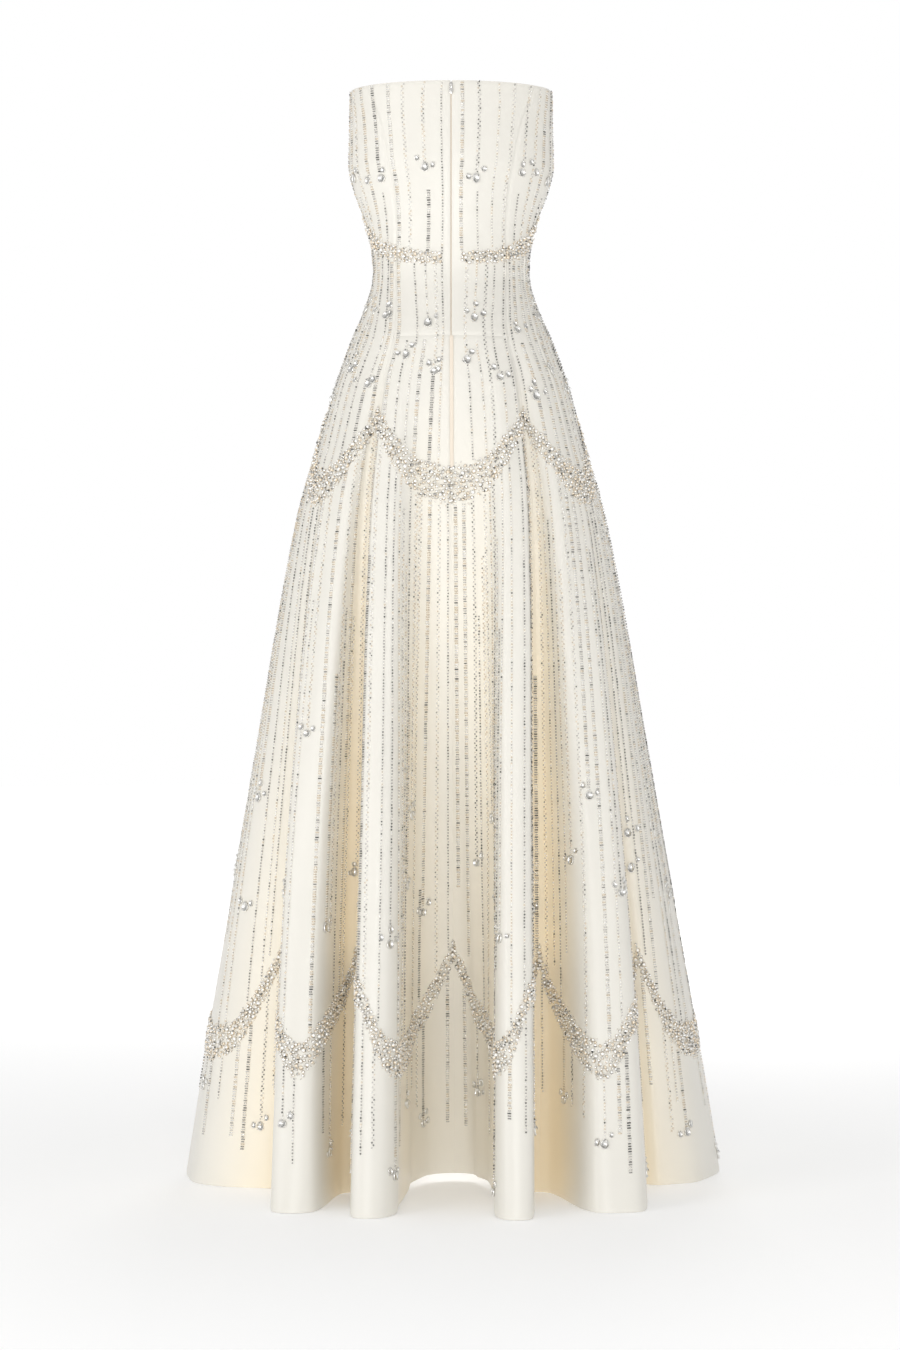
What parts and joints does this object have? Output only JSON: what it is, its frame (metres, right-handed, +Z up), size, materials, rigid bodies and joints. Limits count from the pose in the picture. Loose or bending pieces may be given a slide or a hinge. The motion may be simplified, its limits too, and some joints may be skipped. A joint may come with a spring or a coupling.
{
  "type": "evening gown",
  "caption": "Strapless floor-length evening gown with fitted bodice, dropped waist seam, concealed back zip, deep soft skirt folds and raised beaded bands",
  "frame": {"origin": "middle of the wearer's natural waist", "axes": "+Z up towards the neck edge, -Y out of the back with the zip, +X towards the wearer's right"},
  "size_m": [0.7401, 0.7142, 1.4974],
  "materials": {
    "ivory_satin": "satin",
    "zip_tape_cream": "matte",
    "zip_silver": "polished"
  },
  "bodies": {
    "gown": {"bodice_back_left": "ivory_satin", "bodice_back_right": "ivory_satin", "bodice_front": "ivory_satin", "side_back_left": "ivory_satin", "side_back_right": "ivory_satin", "side_front_left": "ivory_satin", "side_front_right": "ivory_satin", "skirt_back_left": "ivory_satin", "skirt_back_right": "ivory_satin", "skirt_front": "ivory_satin", "zip_tape": "zip_tape_cream", "zip_slider": "zip_silver"},
    "pull": {"zip_pull": "zip_silver"}
  },
  "joints": [
    {"name": "pull_hinge", "type": "hinge", "parent": "gown", "child": "pull", "pos_m": [0, -0.08499, 0.24721], "axis": [-1, 0, 0], "range_deg": [0, 170]}
  ]
}
